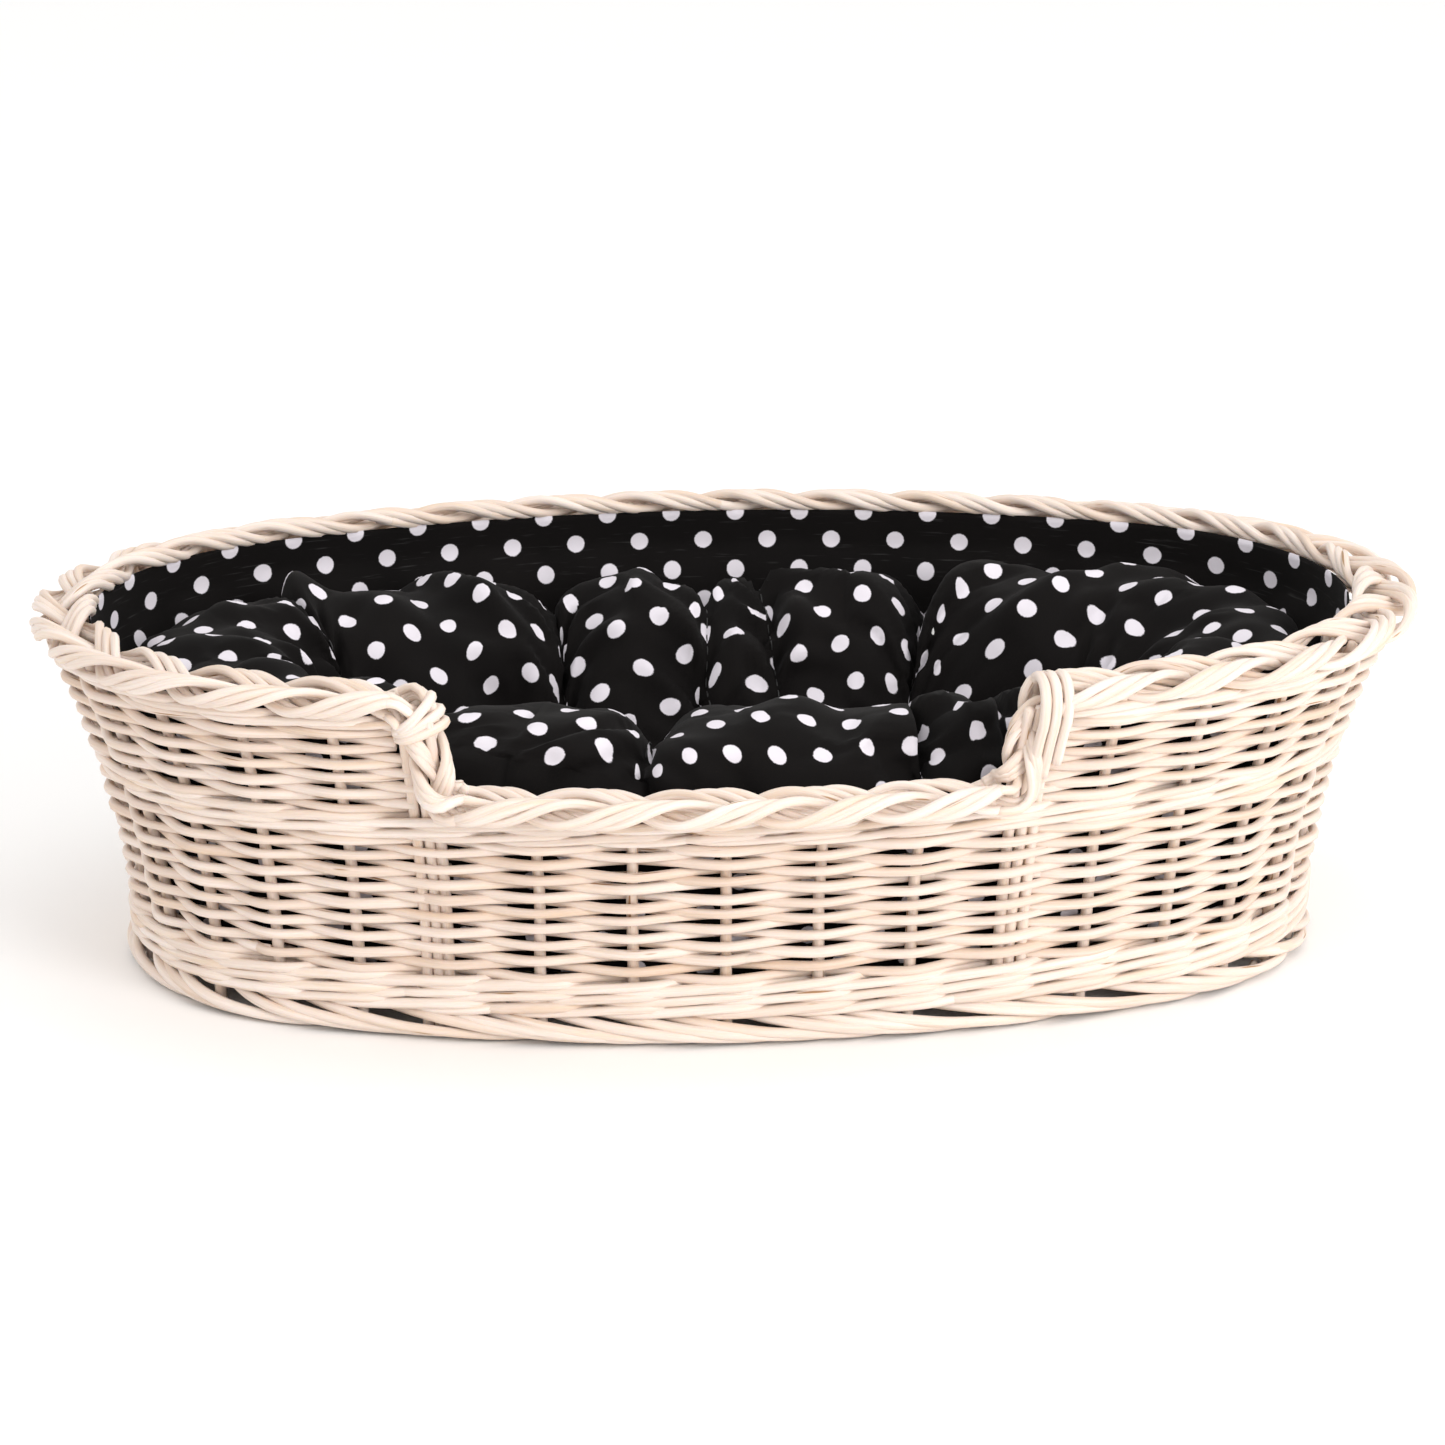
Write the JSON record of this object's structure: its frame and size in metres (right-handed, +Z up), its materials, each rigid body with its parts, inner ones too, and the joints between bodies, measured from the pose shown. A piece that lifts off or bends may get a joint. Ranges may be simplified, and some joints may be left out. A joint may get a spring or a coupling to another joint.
{
  "type": "wicker pet bed basket",
  "caption": "Oval woven willow pet bed with a low front entry, a black dotted cloth lining and a loose nest cushion of puffed pillows.",
  "frame": {"origin": "centre of the bounding box, on the floor under the basket", "axes": "+X to the right along the oval's length, +Z up, and the entry faces -Y"},
  "size_m": [0.6998, 0.4256, 0.192],
  "materials": {
    "willow": "satin",
    "pale_willow": "satin",
    "lining_cotton": "matte",
    "dotted_cotton": "matte",
    "plain_black_cotton": "matte",
    "thread": "matte",
    "fibre_fill": "matte",
    "dark_thread": "matte"
  },
  "bodies": {
    "basket": {"base_sticks": "willow", "base_weave": "willow", "foot_border": "pale_willow", "side_stakes": "willow", "entry_post_left": "pale_willow", "entry_post_right": "pale_willow", "lower_wale": "pale_willow", "side_weave": "willow", "step_wale": "pale_willow", "upper_weave": "willow", "top_wale": "pale_willow", "top_border": "pale_willow", "entry_border": "pale_willow", "entry_plait_left": "pale_willow", "entry_plait_right": "pale_willow", "corner_wrap_left": "pale_willow", "corner_wrap_right": "pale_willow", "lining_wall": "lining_cotton", "lining_stitches": "thread"},
    "cushion": {"cushion_top": "dotted_cotton", "cushion_base": "plain_black_cotton", "quilting_thread": "dark_thread", "ring_filling": "fibre_fill", "centre_filling": "fibre_fill"}
  },
  "joints": [
    {"name": "cushion_lift", "type": "slide", "parent": "basket", "child": "cushion", "axis": [0, 0, 1], "range_m": [0, 0.25]}
  ]
}
